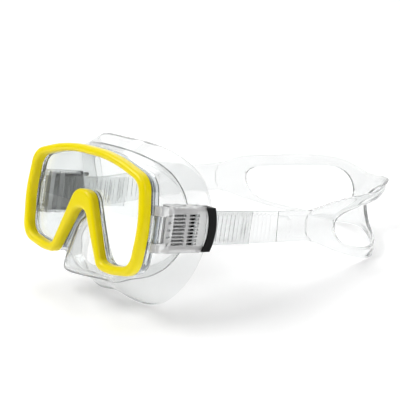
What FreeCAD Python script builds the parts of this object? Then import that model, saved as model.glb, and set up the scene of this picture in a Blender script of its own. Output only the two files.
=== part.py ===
import FreeCAD, Part
import math
import os
import Sketcher
from FreeCAD import Placement, Rotation, Vector

# Diving and snorkelling mask, one lens, with swivelling buckles and a split-back silicone strap.
#
# Every piece is drawn in the mask's own frame: X to the wearer's left, Y from the lens towards the
# face, Z up, zero at the middle of the front bezel. The finished pieces are then leaned back and
# lifted together, so that the mask stands on the lower edge of its skirt and on its headband.

os.makedirs("parts", exist_ok=True)
doc = FreeCAD.newDocument("dive_mask")
sheet = doc.addObject("Spreadsheet::Sheet", "sizes")

SIZES = {
    # front outline, measured from the middle of the bezel
    "half_width": 76.1, "widest_height": -2.0,
    "top_height": 46.2, "crown_half": 18.9, "brow_half": 40.7, "brow_drop": 3.7,
    "temple_in": 5.6, "temple_drop": 12.7, "temple_radius": 16.5,
    "cheek_in": 4.1, "cheek_rise": 5.2, "cheek_radius": 16.5,
    "lobe_half": 42.6, "bottom_depth": 46.6, "lobe_inner": 27.9, "lobe_rise": 1.3, "lobe_radius": 10.0,
    "arch_half": 5.4, "arch_top": -3.6, "arch_radius": 8.6, "edge_bow_radius": 140.0,
    # bezel
    "band_top": 6.4, "band_side": 7.4, "band_bottom": 7.0, "band_flank": 6.9, "band_bridge": 15.6,
    "arch_open_half": 9.8,
    "bezel_front": -4.2, "bezel_depth": 7.6, "bezel_round": 3.2, "inner_round": 2.9,
    # main frame, lens and the seal round it
    "stack_gap": 0.2, "frame_depth": 8.4, "frame_inset": 0.7, "frame_wall": 2.2,
    "lens_thick": 4.0, "lens_lap": 2.2, "lens_setback": 1.2, "lens_bevel": 0.4,
    "seal_gap": 0.2, "seal_depth": 6.4, "seal_grip": 2.0, "lens_slack": 0.05,
    # skirt
    "skirt_gap": 0.5, "skirt_wall": 2.0, "flange_wall": 1.6,
    # swivel
    "hinge_out": 2.4, "hinge_back": 7.5, "pin_radius": 1.2, "pin_fit": 0.05,
    "knuckle_radius": 3.2, "lug_half": 10.0, "knuckle_gap": 0.4,
    # buckle
    "buckle_height": -3.4, "buckle_rim": 4.5, "buckle_front": 12.8, "buckle_back": 55.0,
    "plate_out": 4.9, "plate_thick": 1.3, "base_out": -4.9, "base_thick": 0.8,
    "base_front": 20.0, "base_back": 34.0, "side_thick": 1.8, "side_out": -2.9,
    "slot_high": 1.85, "slot_pitch": 2.75, "slot_count": 9.0, "corner_radius": 3.0,
    # roller, strap layers and lever
    "roller_back": 21.5, "roller_radius": 1.5, "roller_over": 0.4, "axle_radius": 0.8, "axle_fit": 0.05,
    "strap_half": 13.5, "strap_thick": 1.6, "wrap_gap": 0.2,
    "lever_pivot": 48.5, "lever_arm": 1.5, "lever_gap": 0.35, "lever_front": 26.0, "lever_out": 1.7,
    "pawl_front": 42.0, "pawl_long": 2.6, "pawl_thick": 0.8, "pawl_gap": 0.3, "cap_front": 56.0,
    "cap_back": 61.5, "cap_thick": 1.0, "cap_lift": 1.8, "cap_out": -2.1,
    "cap_reach": 3.4, "cap_bow_front": 4.6, "cap_bow_back": 4.0,
    "bridge_front": 27.0, "bridge_bar": 2.6, "bridge_pitch": 3.4, "bridge_count": 7.0,
    "bridge_out": -1.6, "bridge_thick": 0.6,
    # strap lengths, measured back from the roller
    "tail_end": 111.0, "run_end": 146.0, "web_gap": 0.4, "band_thick": 2.2,
    # headband
    "window_start": 33.0, "window_top": 14.5, "window_bottom": 20.0, "bridge_half": 12.0,
    # the front's half width, top and bottom that the skirt and strap below were laid out round
    "laid_half_width": 76.1, "laid_top": 46.2, "laid_bottom": 46.6,
    # stance
    "lean_back": 11.75,
}
for row, (alias, value) in enumerate(SIZES.items(), start=1):
    sheet.set(f"A{row}", alias)
    sheet.set(f"B{row}", str(value))
    sheet.setAlias(f"B{row}", alias)
doc.recompute()


def size(alias):
    """A driving dimension, read back from the sheet."""
    return float(sheet.get(alias))


def beside(alias):
    """A distance from the middle of the mask that is set out from the bezel's widest point."""
    return size("half_width") + size(alias)


def buckle_half():
    """Half the buckle's height: half the strap's and a rim."""
    return size("strap_half") + size("buckle_rim")


def fitted(x, y, z):
    """A laid-out point of the skirt or strap, stretched to the front's present width and height."""
    high = size("top_height") / size("laid_top") if z > 0 else size("bottom_depth") / size("laid_bottom")
    return x * size("half_width") / size("laid_half_width"), y, z * high


# ---------------------------------------------------------------- outlines

def front_outline():
    """Right half of the bezel's outer outline, crown to nose arch, as corner points and radii."""
    top, bottom = size("top_height"), -size("bottom_depth")
    bow = size("edge_bow_radius")
    corners = [
        (size("crown_half"), top, bow),
        (size("brow_half"), top - size("brow_drop"), bow),
        (size("half_width") - size("temple_in"), top - size("temple_drop"), size("temple_radius")),
        (size("half_width"), size("widest_height"), 0.62 * bow),
        (size("half_width") - size("cheek_in"), bottom + size("cheek_rise"), size("cheek_radius")),
        (size("lobe_half"), bottom, 0.4 * bow),
        (size("lobe_inner"), bottom + size("lobe_rise"), size("lobe_radius")),
        (size("arch_half"), size("arch_top"), size("arch_radius")),
    ]
    return [(x, z) for x, z, r in corners], [r for x, z, r in corners]


def mirrored(half, radii):
    """The whole closed outline: the half given and its mirror image."""
    whole = half + [(-x, z) for x, z in reversed(half)]
    return whole, radii + list(reversed(radii))


def inset(points, radii, distances):
    """The outline moved inwards, each edge by its own distance, corners rounded to match."""
    count = len(points)
    lines = []
    for i in range(count):
        (x0, z0), (x1, z1) = points[i - 1], points[i]
        length = math.hypot(x1 - x0, z1 - z0)
        nx, nz = (z1 - z0) / length, -(x1 - x0) / length
        shift = distances[i]
        lines.append((x0 + nx * shift, z0 + nz * shift, x1 - x0, z1 - z0))
    moved, rounded = [], []
    for i in range(count):
        ax, az, adx, adz = lines[i]
        bx, bz, bdx, bdz = lines[(i + 1) % count]
        cross = adx * bdz - adz * bdx
        t = ((bx - ax) * bdz - (bz - az) * bdx) / cross
        moved.append((ax + adx * t, az + adz * t))
        mean = (distances[i] + distances[(i + 1) % count]) / 2
        rounded.append(max(radii[i] - mean if cross < 0 else radii[i] + mean, 1.0))
    return moved, rounded


def even_inset(points, radii, distance):
    """The outline moved inwards by one distance all round."""
    return inset(points, radii, [distance] * len(points))


def bezel_opening(points, radii):
    """The bezel's inner outline: the outer one less the width of each stretch of the bezel."""
    top, side, bottom = size("band_top"), size("band_side"), size("band_bottom")
    flank, bridge = size("band_flank"), size("band_bridge")
    half = [top, top, side, side, bottom, bottom, flank]
    moved, rounded = inset(points, radii, [top] + half + [bridge] + list(reversed(half)))
    tight = {2: 12.5, 4: 12.5, 5: 38.0, 6: 6.5, 7: 12.0}
    count = len(points)
    moved[7] = (size("arch_open_half"), moved[7][1])
    moved[count - 8] = (-size("arch_open_half"), moved[7][1])
    for index, radius in tight.items():
        rounded[index] = radius
        rounded[count - 1 - index] = radius
    return moved, rounded


def corner_arc(points, radii, i):
    """Tangent points and middle of the arc that rounds corner i."""
    px, pz = points[i]
    ax, az = points[i - 1]
    bx, bz = points[(i + 1) % len(points)]
    la, lb = math.hypot(ax - px, az - pz), math.hypot(bx - px, bz - pz)
    ua = ((ax - px) / la, (az - pz) / la)
    ub = ((bx - px) / lb, (bz - pz) / lb)
    half_angle = math.acos(max(-1.0, min(1.0, ua[0] * ub[0] + ua[1] * ub[1]))) / 2
    reach = radii[i] / math.tan(half_angle)
    start = (px + ua[0] * reach, pz + ua[1] * reach)
    end = (px + ub[0] * reach, pz + ub[1] * reach)
    bis = (ua[0] + ub[0], ua[1] + ub[1])
    scale = math.hypot(*bis)
    depth = radii[i] / math.sin(half_angle) - radii[i]
    middle = (px + bis[0] / scale * depth, pz + bis[1] / scale * depth)
    return start, middle, end


def rounded_edges(points, radii):
    """Line and arc geometry of a closed rounded outline, in sketch coordinates."""
    arcs = [corner_arc(points, radii, i) for i in range(len(points))]
    edges = []
    for i, (start, middle, end) in enumerate(arcs):
        previous_end = arcs[i - 1][2]
        edges.append(Part.LineSegment(Vector(*previous_end, 0), Vector(*start, 0)))
        edges.append(Part.Arc(Vector(*start, 0), Vector(*middle, 0), Vector(*end, 0)))
    return edges


def rectangle(x0, y0, x1, y1, radius=0.0):
    """A closed rectangle, square or with rounded corners, in sketch coordinates."""
    points = [(x0, y0), (x0, y1), (x1, y1), (x1, y0)]
    if radius > 0:
        return rounded_edges(points, [radius] * 4)
    corners = [Vector(x, y, 0) for x, y in points]
    return [Part.LineSegment(corners[i - 1], corners[i]) for i in range(4)]


def ring(x, y, radius):
    """A circle in sketch coordinates."""
    return [Part.Circle(Vector(x, y, 0), Vector(0, 0, 1), radius)]


# ---------------------------------------------------------------- document helpers

pieces = {}


def new_body(name):
    """An empty body whose label is the node's name."""
    body = doc.addObject("PartDesign::Body", name)
    body.Label = name
    pieces[name] = body
    return body


def sketch_on(body, plane, offset, geometry, name):
    """A sketch on one of the body's own origin planes, moved off it by an expression."""
    role = plane + "_Plane"
    origin_plane = next(f for f in body.Origin.OriginFeatures if f.Role == role)
    sketch = body.newObject("Sketcher::SketchObject", name)
    sketch.AttachmentSupport = (origin_plane, [""])
    sketch.MapMode = "FlatFace"
    sketch.setExpression(".AttachmentOffset.Base.z", offset)
    for piece in geometry:
        sketch.addGeometry(piece, False)
    return sketch


def pad(body, sketch, length, name, reverse=False):
    """Material added along the sketch's normal."""
    feature = body.newObject("PartDesign::Pad", name)
    feature.Profile = sketch
    feature.setExpression("Length", length)
    feature.Reversed = reverse
    sketch.Visibility = False
    doc.recompute()
    return feature


def pocket(body, sketch, length, name, reverse=False):
    """Material taken away along the sketch's normal."""
    before = body.Shape.Volume
    feature = body.newObject("PartDesign::Pocket", name)
    feature.Profile = sketch
    feature.setExpression("Length", length)
    feature.Reversed = reverse
    doc.recompute()
    if body.Shape.Volume > before - 1e-3:
        raise RuntimeError(f"{name} cut nothing")
    return feature


def edges_at(shape, axis, value, tolerance=1e-4):
    """Names of the edges that lie in the plane where one coordinate has a value."""
    found = []
    for number, edge in enumerate(shape.Edges, start=1):
        box = edge.BoundBox
        low = getattr(box, axis + "Min")
        high = getattr(box, axis + "Max")
        if abs(low - value) < tolerance and abs(high - value) < tolerance:
            found.append((f"Edge{number}", edge))
    return found


def shape_piece(name, shape):
    """A piece whose shape is built straight from faces: the soft silicone mouldings."""
    feature = doc.addObject("Part::Feature", name)
    feature.Label = name
    feature.Shape = shape
    pieces[name] = feature
    return feature


def sheet_solid(outer, inner, closed=False, present=lambda i, j: True):
    """A closed solid between two grids of points, with side walls round its edges and holes.

    outer[i][j] and inner[i][j] are matching points. With closed, the last row of i meets the first.
    """
    rows, columns = len(outer), len(outer[0])
    spans = rows if closed else rows - 1
    points = [p for row in outer for p in row] + [p for row in inner for p in row]
    shift = rows * columns
    facets = []

    def quad(a, b, c, d):
        facets.extend([(a, b, c), (a, c, d)])

    def here(i, j):
        if closed:
            i %= rows
        return 0 <= i < spans and 0 <= j < columns - 1 and present(i, j)

    for i in range(spans):
        k = (i + 1) % rows
        for j in range(columns - 1):
            if not here(i, j):
                continue
            a, b = i * columns + j, i * columns + j + 1
            c, d = k * columns + j + 1, k * columns + j
            quad(a, b, c, d)
            quad(shift + d, shift + c, shift + b, shift + a)
            if not here(i, j - 1):
                quad(d, shift + d, shift + a, a)
            if not here(i, j + 1):
                quad(b, shift + b, shift + c, c)
            if not here(i - 1, j):
                quad(a, shift + a, shift + b, b)
            if not here(i + 1, j):
                quad(c, shift + c, shift + d, d)
    surface = Part.Shape()
    surface.makeShapeFromMesh((points, facets), 0.01)
    solid = Part.Solid(surface.Shells[0])
    if solid.Volume < 0:
        solid.reverse()
    return solid


# ---------------------------------------------------------------- front: bezel, lens, seal, frame

outer_points, outer_radii = mirrored(*front_outline())
opening_points, opening_radii = bezel_opening(outer_points, outer_radii)
lens_points, lens_radii = even_inset(opening_points, opening_radii, -size("lens_lap"))
frame_back = "sizes.bezel_front + sizes.bezel_depth + sizes.stack_gap + sizes.frame_depth"


def build_bezel():
    """Clamp bezel: a ring with a rounded front, wider over the nose arch."""
    body = new_body("front_bezel")
    outline = rounded_edges(outer_points, outer_radii) + rounded_edges(opening_points, opening_radii)
    profile = sketch_on(body, "XZ", "-sizes.bezel_front", outline, "bezel_profile")
    solid = pad(body, profile, "sizes.bezel_depth", "bezel_pad", reverse=True)
    front = edges_at(solid.Shape, "Y", size("bezel_front"))
    outer_names = []
    opening = Part.Wire([e.toShape() for e in rounded_edges(opening_points, opening_radii)])
    opening.rotate(Vector(0, 0, 0), Vector(1, 0, 0), 90)
    opening.translate(Vector(0, size("bezel_front"), 0))
    for name, edge in front:
        middle = edge.valueAt((edge.FirstParameter + edge.LastParameter) / 2)
        near = opening.distToShape(Part.Vertex(middle))[0] < 1e-4
        if not near:
            outer_names.append(name)
    rounding = body.newObject("PartDesign::Fillet", "bezel_outer_round")
    rounding.Base = (solid, outer_names)
    rounding.setExpression("Radius", "sizes.bezel_round")
    doc.recompute()
    names = []
    for name, edge in edges_at(rounding.Shape, "Y", size("bezel_front")):
        middle = edge.valueAt((edge.FirstParameter + edge.LastParameter) / 2)
        if opening.distToShape(Part.Vertex(middle))[0] < 1e-4:
            names.append(name)
    inner = body.newObject("PartDesign::Fillet", "bezel_inner_round")
    inner.Base = (rounding, names)
    inner.setExpression("Radius", "sizes.inner_round")
    doc.recompute()
    body.Tip = inner
    return body


def build_lens():
    """Flat tempered glass, larger than the opening all round, with a ground edge."""
    body = new_body("lens")
    start = "-(sizes.bezel_front + sizes.bezel_depth + sizes.lens_setback)"
    profile = sketch_on(body, "XZ", start, rounded_edges(lens_points, lens_radii), "lens_profile")
    plate = pad(body, profile, "sizes.lens_thick", "lens_plate", reverse=True)
    front = size("bezel_front") + size("bezel_depth") + size("lens_setback")
    names = [n for n, e in edges_at(plate.Shape, "Y", front)]
    names += [n for n, e in edges_at(plate.Shape, "Y", front + size("lens_thick"))]
    bevel = body.newObject("PartDesign::Chamfer", "lens_bevel")
    bevel.Base = (plate, names)
    bevel.setExpression("Size", "sizes.lens_bevel")
    doc.recompute()
    body.Tip = bevel
    return body


def build_seal():
    """The skirt's lip: a silicone ring with a groove that grips the edge of the lens."""
    body = new_body("lens_seal")
    reach = size("frame_inset") + size("frame_wall") + size("seal_gap")
    outline = rounded_edges(*even_inset(outer_points, outer_radii, reach))
    outline += rounded_edges(*even_inset(lens_points, lens_radii, size("seal_grip")))
    start = "-(sizes.bezel_front + sizes.bezel_depth + sizes.stack_gap)"
    profile = sketch_on(body, "XZ", start, outline, "seal_profile")
    pad(body, profile, "sizes.seal_depth", "seal_ring", reverse=True)
    slack = size("lens_slack")
    groove = rounded_edges(*even_inset(lens_points, lens_radii, -slack))
    start = "-(sizes.bezel_front + sizes.bezel_depth + sizes.lens_setback - sizes.lens_slack)"
    cutter = sketch_on(body, "XZ", start, groove, "groove_profile")
    pocket(body, cutter, "sizes.lens_thick + 2 * sizes.lens_slack", "lens_groove")
    return body


def build_main_frame():
    """Clear moulded frame: a wall round the lens and seal, with a hinge lug on each side."""
    body = new_body("main_frame")
    outer = even_inset(outer_points, outer_radii, size("frame_inset"))
    inner = even_inset(outer_points, outer_radii, size("frame_inset") + size("frame_wall"))
    start = "-(sizes.bezel_front + sizes.bezel_depth + sizes.stack_gap)"
    outline = rounded_edges(*outer) + rounded_edges(*inner)
    profile = sketch_on(body, "XZ", start, outline, "frame_profile")
    pad(body, profile, "sizes.frame_depth", "frame_wall_pad", reverse=True)
    hinge, back, radius = beside("hinge_out"), size("hinge_back"), size("knuckle_radius")
    root = size("half_width") - size("frame_inset") - size("frame_wall") + 0.4
    lugs = []
    for side in (1, -1):
        tip = Vector(side * hinge, back + radius, 0)
        low = Vector(side * hinge, back - radius, 0)
        nose = Vector(side * (hinge + radius), back, 0)
        lugs.append(Part.LineSegment(Vector(side * root, back + radius, 0), tip))
        lugs.append(Part.Arc(tip, nose, low))
        lugs.append(Part.LineSegment(low, Vector(side * root, back - radius, 0)))
        lugs.append(Part.LineSegment(Vector(side * root, back - radius, 0),
                                     Vector(side * root, back + radius, 0)))
    profile = sketch_on(body, "XY", "sizes.buckle_height - sizes.lug_half", lugs, "lug_profile")
    pad(body, profile, "2 * sizes.lug_half", "lug_pad")
    bores = []
    for side in (1, -1):
        bores += ring(side * hinge, back, size("pin_radius") + size("pin_fit"))
    cutter = sketch_on(body, "XY", "sizes.buckle_height + sizes.lug_half", bores, "lug_bores")
    pocket(body, cutter, "2 * sizes.lug_half", "lug_bore_cut")
    return body


# ---------------------------------------------------------------- skirt

def between(a, b, share):
    """The point a share of the way from a to b."""
    return tuple(p + (q - p) * share for p, q in zip(a, b))


def skirt_front(reach):
    """Right half of a ring set in from the bezel's outline by some reach, crown to nose arch."""
    points, radii = even_inset(outer_points, outer_radii, reach)
    middle = [corner_arc(points, radii, i)[1] for i in range(8)]
    crown = (0.0, points[0][1])
    return [
        crown, middle[0], middle[1], between(middle[1], middle[2], 0.6), middle[2],
        between(middle[2], middle[3], 0.5), middle[3], between(middle[3], middle[4], 0.4),
        between(middle[3], middle[4], 0.75), middle[4], between(middle[4], middle[5], 0.5), middle[5],
        middle[6], between(points[6], points[7], 0.4), between(points[6], points[7], 0.81), middle[7],
        (0.0, points[7][1]),
    ]


# ridge where the wall turns into the face flange, and the flange's edge, crown to upper lip
RIDGE = [(0, 22, 48.5), (20, 23, 48), (40, 27, 44.5), (54, 33, 39.5), (63, 41, 28.5), (66.5, 48, 14),
         (67.5, 51, -4), (67, 50, -22), (64, 39, -38), (56, 30, -46), (47, 26, -49.5), (38, 24.5, -52),
         (32, 24, -55), (24, 23, -58.5), (16, 22.5, -60), (8, 22, -59.5), (0, 22, -59)]
EDGE = [(0, 34, 55.5), (17, 35, 56), (37, 40, 54.5), (55, 50, 48), (65.5, 62, 36), (68.8, 72, 18),
        (69.5, 76, 0), (69.3, 73, -20), (68.5, 67, -37), (66, 62, -50), (59, 57, -63), (49.5, 54.5, -71.5),
        (41, 53.5, -76), (31, 52, -77.8), (20, 49.5, -77), (9, 47, -74.5), (0, 46, -73)]
# the nose pocket: how each of the last five stretches bulges forward between front ring and ridge
NOSE = {
    12: [(28.8, 15, -47), (29.2, 15.5, -48.5), (29.7, 16.5, -50), (30.4, 18, -52), (31, 20.5, -53.5)],
    13: [(18.8, 8.5, -34), (20, 7, -43), (20, 6.5, -49), (20.5, 8, -54.5), (22, 15, -57.5)],
    14: [(10.6, 4, -17.5), (12, 2, -31), (13.5, 0, -46), (14, -1, -54), (15, 10, -57.5)],
    15: [(4.5, 1, -13), (6, -2.5, -29), (7, -7, -46), (7, -8.5, -54.5), (8, 7, -57.5)],
    16: [(0, -2.5, -8.5), (0, -8.5, -27), (0, -14.5, -47), (0, -12, -54.5), (0, 6, -57.5)],
}


def skirt_grid():
    """Outer surface of the skirt, one row per stretch from crown round to upper lip."""
    depth = size("bezel_front") + size("bezel_depth") + size("stack_gap")
    behind = depth + size("frame_depth")
    depth += size("seal_depth") + size("stack_gap")
    reach = size("frame_inset") + size("frame_wall") + size("skirt_gap")
    rows = []
    for number in range(len(RIDGE)):
        x, z = skirt_front(reach + (0.5 if number > 12 else 0.0))[number]
        start, collar = (x, depth, z), (x, behind + 0.5, z)
        ridge, edge = fitted(*RIDGE[number]), fitted(*EDGE[number])
        if number in NOSE:
            wrap_x, wrap_z = skirt_front(0.0)[number]
            steps = [(wrap_x, behind + 2.8, wrap_z)] + [(p[0], p[1], fitted(*p)[2]) for p in NOSE[number]]
        else:
            steps = []
            for k in range(1, 7):
                place = between(collar, ridge, k / 7)
                drawn_in = (collar[0] - ridge[0]) * ((k / 7) ** 0.5 - k / 7) if 3 <= number <= 9 else 0.0
                steps.append((place[0] - drawn_in, place[1], place[2]))
        rows.append([start, collar] + steps + [ridge, between(ridge, edge, 0.5), edge])
    mirror = [[(-x, y, z) for x, y, z in row] for row in rows[-2:0:-1]]
    return [[Vector(*p) for p in row] for row in rows + mirror]


def inward(grid, i, j, thick):
    """The point below grid[i][j], a wall's thickness along the surface's own normal."""
    rows = len(grid)
    ahead, behind = grid[(i + 1) % rows][j], grid[i - 1][j]
    later = grid[i][min(j + 1, len(grid[0]) - 1)]
    before = grid[i][max(j - 1, 0)]
    normal = (ahead - behind).cross(later - before)
    normal.normalize()
    return grid[i][j] - normal * thick


def build_skirt():
    """Clear silicone skirt: a hollow wall with a nose pocket and a flange that lies on the face."""
    grid = skirt_grid()
    last = len(grid[0]) - 1
    walls = [size("skirt_wall")] * (last - 1) + [size("flange_wall")] * 2
    sign = 1 if inward(grid, 0, 2, 1.0).z < grid[0][2].z else -1
    inner = [[inward(grid, i, j, sign * walls[j]) for j in range(last + 1)] for i in range(len(grid))]
    for i, row in enumerate(grid):
        inner[i][0].y = row[0].y
    return shape_piece("skirt", sheet_solid(grid, inner, closed=True))


# ---------------------------------------------------------------- buckles

def sided(name, side):
    """Left is +X, the wearer's left."""
    return ("left_" if side > 0 else "right_") + name


def run_centre():
    """Distance from the middle of the mask to the strap layer nearest the head, at the roller."""
    return beside("base_out") + size("base_thick") + 2 * size("wrap_gap") + size("strap_thick") / 2


def roller_centre():
    """Distance from the middle of the mask to the roller's axis."""
    return run_centre() + size("strap_thick") / 2 + size("wrap_gap") + size("roller_radius")


def tail_centre():
    """Distance from the middle of the mask to the outer strap layer."""
    return 2 * roller_centre() - run_centre()


def slab(body, side, low, high, rectangles, name):
    """A pad between two distances from the middle of the mask, its outline seen from the side."""
    width = f"{high} - ({low})"
    start = f"{low}" if side > 0 else f"-({high})"
    geometry = [edge for outline in rectangles for edge in outline]
    profile = sketch_on(body, "YZ", start, geometry, name + "_profile")
    return pad(body, profile, width, name)


def build_buckle(side):
    """Clear buckle body: slotted outer plate, two side walls, base bars and two hinge knuckles."""
    body = new_body(sided("buckle_body", side))
    tag = "l_" if side > 0 else "r_"
    mid, half = size("buckle_height"), buckle_half()
    front, back, wall = size("buckle_front"), size("buckle_back"), size("side_thick")
    slots = [rectangle(front, mid - half, back, mid + half, size("corner_radius"))]
    count = int(size("slot_count"))
    for number in range(count):
        centre = mid + (number - (count - 1) / 2) * size("slot_pitch")
        low, high = centre - size("slot_high") / 2, centre + size("slot_high") / 2
        if number % 2 == 0:
            slots.append(rectangle(front + 2.4, low, front + 5.6, high, 0.5))
        slots.append(rectangle(front + 7.7, low, front + 20.7, high, 0.5))
        slots.append(rectangle(front + 23.8, low, front + 34.4, high, 0.5))
    slab(body, side, "(sizes.half_width + sizes.plate_out)", "(sizes.half_width + sizes.plate_out) + sizes.plate_thick", slots, tag + "plate")
    corner = size("corner_radius")
    walls = [rectangle(front + corner, mid + half - wall, back - corner, mid + half),
             rectangle(front + corner, mid - half, back - corner, mid - half + wall)]
    slab(body, side, "(sizes.half_width + sizes.side_out)", "(sizes.half_width + sizes.plate_out)", walls, tag + "walls")
    bars = [rectangle(size("base_front"), mid - half, size("base_front") + 4.5, mid + half),
            rectangle(size("base_back") - 4.5, mid - half, size("base_back"), mid + half)]
    slab(body, side, "(sizes.half_width + sizes.base_out)", "(sizes.half_width + sizes.base_out) + sizes.base_thick", bars, tag + "bars")
    posts = []
    for start in (size("base_front"), size("base_back") - 4.5):
        posts.append(rectangle(start, mid + half - wall, start + 4.5, mid + half))
        posts.append(rectangle(start, mid - half, start + 4.5, mid - half + wall))
    slab(body, side, "(sizes.half_width + sizes.base_out)", "(sizes.half_width + sizes.side_out) + 0.5", posts, tag + "posts")
    hinge, pivot, radius = beside("hinge_out"), size("hinge_back"), size("knuckle_radius")
    outer = beside("plate_out") + size("plate_thick")
    wing = []
    knuckle = half - size("lug_half") - size("knuckle_gap") - 0.6
    a, b = Vector(side * hinge, pivot - radius, 0), Vector(side * hinge, pivot + radius, 0)
    inner_turn = Vector(side * (hinge - radius), pivot, 0)
    low_corner = Vector(side * outer, pivot - 0.4 * radius, 0)
    wing.append(Part.Arc(b, inner_turn, a))
    wing.append(Part.LineSegment(a, low_corner))
    wing.append(Part.LineSegment(low_corner, Vector(side * outer, front + 3.2, 0)))
    wing.append(Part.LineSegment(Vector(side * outer, front + 3.2, 0),
                                 Vector(side * beside("plate_out"), front + 3.2, 0)))
    wing.append(Part.LineSegment(Vector(side * beside("plate_out"), front + 3.2, 0), b))
    start = "sizes.buckle_height + sizes.lug_half + sizes.knuckle_gap"
    length = "(sizes.strap_half + sizes.buckle_rim) - sizes.lug_half - sizes.knuckle_gap - 0.6"
    profile = sketch_on(body, "XY", start, wing, tag + "upper_knuckle_profile")
    pad(body, profile, length, tag + "upper_knuckle")
    start = "sizes.buckle_height - (sizes.strap_half + sizes.buckle_rim) + 0.6"
    profile = sketch_on(body, "XY", start, wing, tag + "lower_knuckle_profile")
    pad(body, profile, length, tag + "lower_knuckle")
    bores = ring(side * hinge, pivot, size("pin_radius") + size("pin_fit"))
    bores += ring(side * roller_centre(), size("roller_back"), size("axle_radius") + 0.02)
    bores += ring(side * (roller_centre() + 0.3), size("lever_pivot"), size("axle_radius") + 0.02)
    top = "sizes.buckle_height + (sizes.strap_half + sizes.buckle_rim) + 1"
    cutter = sketch_on(body, "XY", top, bores, tag + "bore_profile")
    pocket(body, cutter, "2 * (sizes.strap_half + sizes.buckle_rim) + 2", tag + "bores")
    return body


def build_rod(name, x, y, radius, half, bore=None):
    """A straight pin or a roller standing on the buckle's middle height."""
    body = new_body(name)
    geometry = ring(x, y, size(radius))
    if bore:
        geometry += ring(x, y, size(bore) + size("axle_fit"))
    profile = sketch_on(body, "XY", f"sizes.buckle_height - ({half})", geometry, name + "_profile")
    pad(body, profile, f"2 * ({half})", name + "_pad")
    return body


def cap_outline(mid, half):
    """The end cap seen from the side: a crescent, both long edges bowed towards the back."""
    near, far = size("cap_front") - size("cap_reach"), size("cap_back")
    corners = [Vector(near, mid - half, 0), Vector(near, mid + half, 0),
               Vector(far, mid + half, 0), Vector(far, mid - half, 0)]
    return [Part.Arc(corners[0], Vector(near + size("cap_bow_front"), mid, 0), corners[1]),
            Part.LineSegment(corners[1], corners[2]),
            Part.Arc(corners[2], Vector(far + size("cap_bow_back"), mid, 0), corners[3]),
            Part.LineSegment(corners[3], corners[0])]


def build_lever(side):
    """Release lever: two arms inside the buckle's walls, a pawl bar, and the pressed end cap."""
    body = new_body(sided("release_lever", side))
    tag = "l_" if side > 0 else "r_"
    mid = size("buckle_height")
    high = buckle_half() - size("side_thick") - size("lever_gap")
    low = high - size("lever_arm")
    cap = beside("plate_out") + size("plate_thick") + size("cap_lift")
    front, back = size("lever_front"), size("cap_back")
    arms = [rectangle(front, mid + low, back, mid + high), rectangle(front, mid - high, back, mid - low)]
    slab(body, side, "(sizes.half_width + sizes.cap_out)", "(sizes.half_width + sizes.lever_out)", arms, tag + "arms")
    bridge = []
    for number in range(int(size("bridge_count"))):
        start = size("bridge_front") + number * size("bridge_pitch")
        bridge.append(rectangle(start, mid - high, start + size("bridge_bar"), mid + high))
    slab(body, side, "(sizes.half_width + sizes.bridge_out)", "(sizes.half_width + sizes.bridge_out) + sizes.bridge_thick", bridge, tag + "bridge")
    front = size("pawl_front")
    rails = [rectangle(front, mid + low, back, mid + high), rectangle(front, mid - high, back, mid - low)]
    pawl_low = str(tail_centre() + size("strap_thick") / 2 + size("pawl_gap"))
    pawl_high = pawl_low + " + sizes.pawl_thick"
    slab(body, side, "(sizes.half_width + sizes.lever_out) - 0.5", pawl_high, rails, tag + "rails")
    bar = [rectangle(front, mid - high, front + size("pawl_long"), mid + high)]
    slab(body, side, pawl_low, pawl_high, bar, tag + "pawl")
    cheeks = [rectangle(size("cap_front"), mid + low, size("cap_back"), mid + buckle_half() - 0.6, 0.4),
              rectangle(size("cap_front"), mid - buckle_half() + 0.6, size("cap_back"), mid - low, 0.4)]
    outer = "(sizes.half_width + sizes.plate_out) + sizes.plate_thick + sizes.cap_lift"
    slab(body, side, "(sizes.half_width + sizes.cap_out)", outer + " - sizes.cap_thick + 0.3", cheeks, tag + "cheeks")
    face = [cap_outline(mid, buckle_half() - 0.6)]
    slab(body, side, outer + " - sizes.cap_thick", outer, face, tag + "cap")
    holes = ring(side * (roller_centre() + 0.3), size("lever_pivot"), size("axle_radius") + size("axle_fit"))
    cutter = sketch_on(body, "XY", "sizes.buckle_height + (sizes.strap_half + sizes.buckle_rim)", holes, tag + "pivot_profile")
    pocket(body, cutter, "2 * (sizes.strap_half + sizes.buckle_rim)", tag + "pivot_hole")
    return body


# ---------------------------------------------------------------- strap and headband

def band_solid(stations, thick, present=lambda i, j: True):
    """A strap built from stations: (middle, outward normal, points up the strap)."""
    outer, inner = [], []
    for normal, column in stations:
        outer.append([p + normal * (thick / 2) for p in column])
        inner.append([p - normal * (thick / 2) for p in column])
    return sheet_solid(outer, inner, present=present)


def up_at(y):
    """Direction of the strap's height: the mask's own at the buckle, upright at the headband."""
    share = max(0.0, min(1.0, (y - 75.0) / 150.0))
    angle = math.radians(size("lean_back")) * share
    return Vector(0, -math.sin(angle), math.cos(angle))


def stations_along(points, heights, count, first=0.0, last=1.0):
    """Evenly spaced stations on a smooth curve through the points.

    heights(share) gives the levels up the strap and how far its top leans outwards.
    """
    curve = Part.BSplineCurve()
    curve.interpolate([Vector(*p) for p in points])
    total = curve.length()
    stations = []
    for number in range(count):
        share = first + (last - first) * number / (count - 1)
        parameter = curve.parameterAtDistance(total * share, curve.FirstParameter)
        place, tangent = curve.value(parameter), curve.tangent(parameter)[0]
        up = up_at(place.y)
        normal = Vector(tangent).cross(up)
        normal.normalize()
        levels, lean = heights(share)
        column = [place + up * h + normal * (max(h, 0.0) * lean) for h in levels]
        stations.append((normal, column))
    return stations


def plain(share):
    """Levels of the plain strap: its lower and upper edge."""
    return [-size("strap_half"), size("strap_half")], 0.0


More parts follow.
